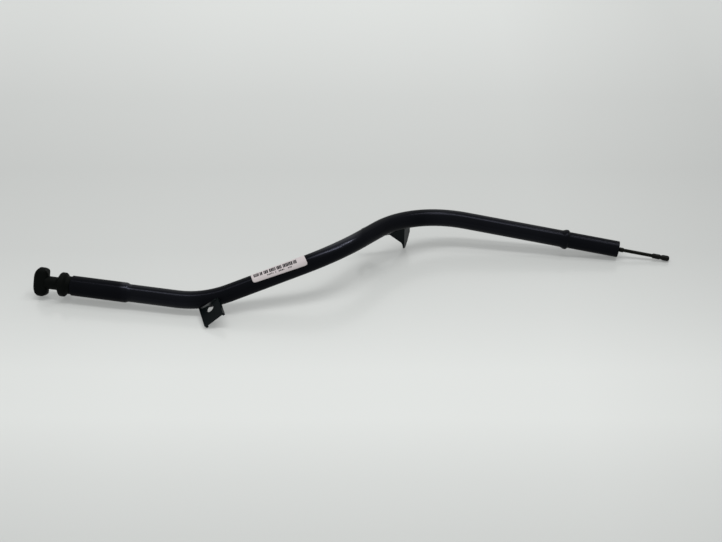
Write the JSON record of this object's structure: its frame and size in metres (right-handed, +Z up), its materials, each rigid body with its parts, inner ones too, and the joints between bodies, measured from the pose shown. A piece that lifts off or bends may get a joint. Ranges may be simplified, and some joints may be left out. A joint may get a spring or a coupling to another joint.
{
  "type": "engine oil dipstick in its guide tube",
  "caption": "Bent black steel guide tube with a belled mouth and two welded brackets, holding a flexible oil dipstick with a T handle and a gauge tip.",
  "frame": {"origin": "centre of the part's bounding box in plan, on the plane that it rests on", "axes": "+X from the handle to the gauge tip, +Z up as the part lies on a table on its upper bracket, its lower bracket and the lower end of its tube"},
  "size_m": [0.5838, 0.145, 0.0467],
  "materials": {
    "tube_paint": "gloss black paint over steel",
    "bracket_paint": "gloss black paint over sheet steel",
    "label_paper": "matt printed label, pale pinkish grey",
    "handle_plastic": "moulded black plastic with a fine grain",
    "ring_rubber": "black rubber",
    "stick_steel": "dull grey steel, oiled",
    "tip_plastic": "moulded black plastic"
  },
  "bodies": {
    "tube": {"guide_tube": "tube_paint", "upper_bracket": "bracket_paint", "lower_bracket": "bracket_paint", "label": "label_paper"},
    "stick": {"handle": "handle_plastic", "upper_bung_ring": "ring_rubber", "lower_bung_ring": "ring_rubber", "stick_ferrule": "stick_steel", "stick": "stick_steel"},
    "tip": {"stop_sleeve": "stick_steel", "gauge_tip": "tip_plastic"}
  },
  "joints": [
    {"name": "stick_pull", "type": "slide", "parent": "tube", "child": "stick", "axis": [-0.9836, 0.1786, 0.0237], "range_m": [0, 0.09], "deforming": ["stick"]},
    {"name": "tip_follow", "type": "slide", "parent": "tube", "child": "tip", "axis": [-0.98, 0.1623, 0.1153], "range_m": [0, 0.09]}
  ],
  "couplings": [
    {"joint": "tip_follow", "follows": "stick_pull", "ratio": 1}
  ]
}
